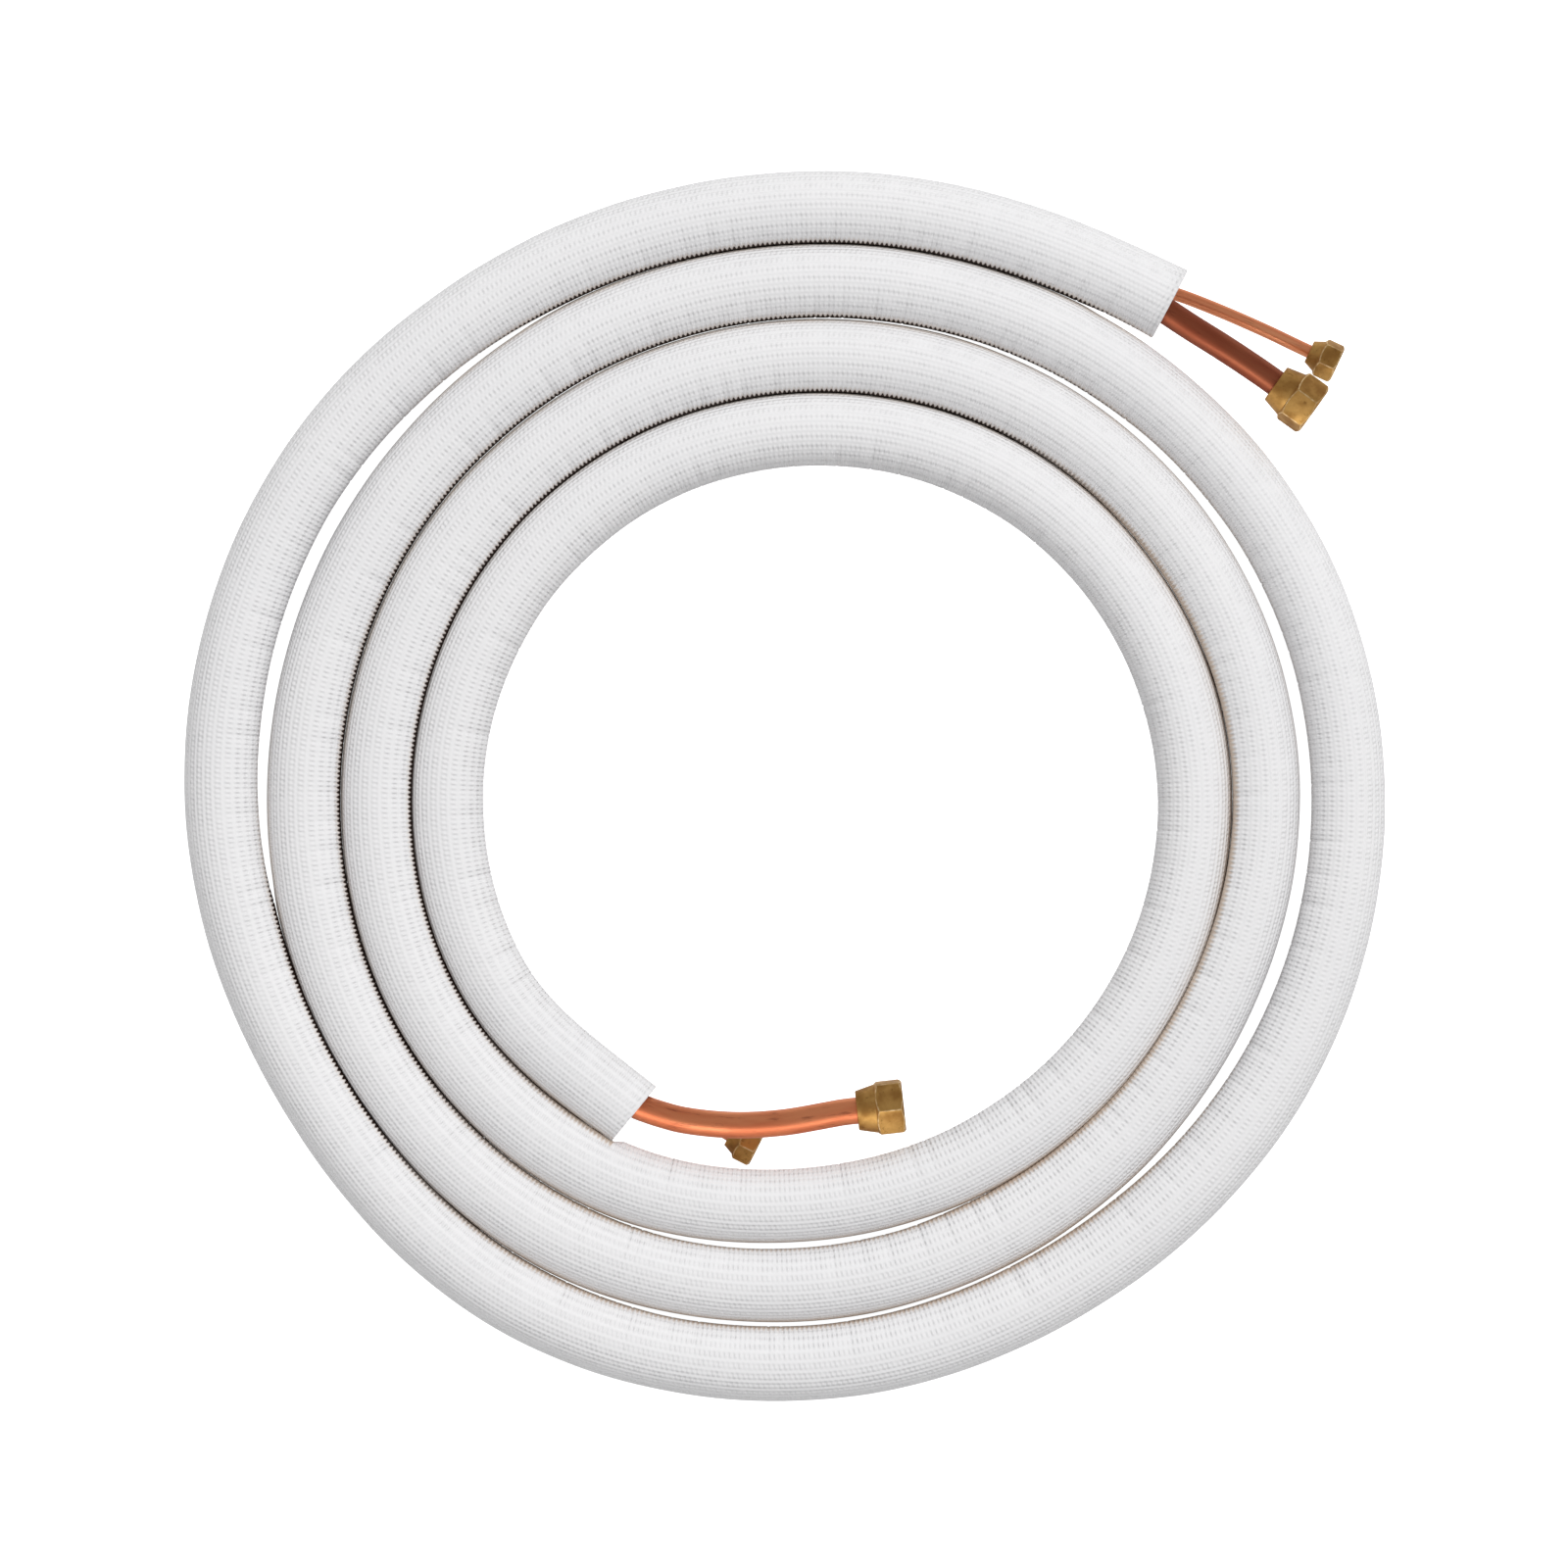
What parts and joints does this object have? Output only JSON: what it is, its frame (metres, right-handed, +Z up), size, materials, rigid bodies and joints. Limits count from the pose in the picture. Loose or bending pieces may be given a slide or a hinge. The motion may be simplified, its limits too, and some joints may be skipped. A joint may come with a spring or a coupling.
{
  "type": "mini split line set",
  "caption": "Coiled pair of copper refrigerant tubes in white foam sleeves, with brass flare nuts on the bare ends, for joining the indoor and outdoor units of a split air conditioner.",
  "frame": {"origin": "on the floor, under the middle of the whole set's box", "axes": "+Z up, out of the flat coil's face; +X and +Y lie in the floor, +Y towards the picture's top edge, with the outer tube ends pointing to +X"},
  "size_m": [0.5702, 0.5836, 0.0632],
  "materials": {
    "foam": "white polyethylene foam under an embossed film, semi-matt",
    "copper": "soft drawn copper, satin and slightly tarnished",
    "brass": "forged brass, satin, slightly tarnished"
  },
  "bodies": {
    "line_set": {"suction_line_insulation": "foam", "liquid_line_insulation": "foam", "suction_line_tube": "copper", "liquid_line_tube": "copper"},
    "suction_nut_inner": {"suction_line_nut_inner": "brass"},
    "suction_nut_outer": {"suction_line_nut_outer": "brass"},
    "liquid_nut_inner": {"liquid_line_nut_inner": "brass"},
    "liquid_nut_outer": {"liquid_line_nut_outer": "brass"}
  },
  "joints": [
    {"name": "suction_nut_inner_turn", "type": "hinge", "parent": "line_set", "child": "suction_nut_inner", "pos_m": [0.05664, -0.15281, 0.04585], "axis": [0.994, 0.1095, 0], "continuous": true},
    {"name": "suction_nut_outer_turn", "type": "hinge", "parent": "line_set", "child": "suction_nut_outer", "pos_m": [0.25141, 0.17688, 0.04585], "axis": [0.8122, -0.5834, 0], "continuous": true},
    {"name": "liquid_nut_inner_turn", "type": "hinge", "parent": "line_set", "child": "liquid_nut_inner", "pos_m": [-0.01303, -0.17383, 0.01413], "axis": [0.8901, -0.4557, 0], "continuous": true},
    {"name": "liquid_nut_outer_turn", "type": "hinge", "parent": "line_set", "child": "liquid_nut_outer", "pos_m": [0.26313, 0.19921, 0.01413], "axis": [0.9049, -0.4256, 0], "continuous": true}
  ]
}
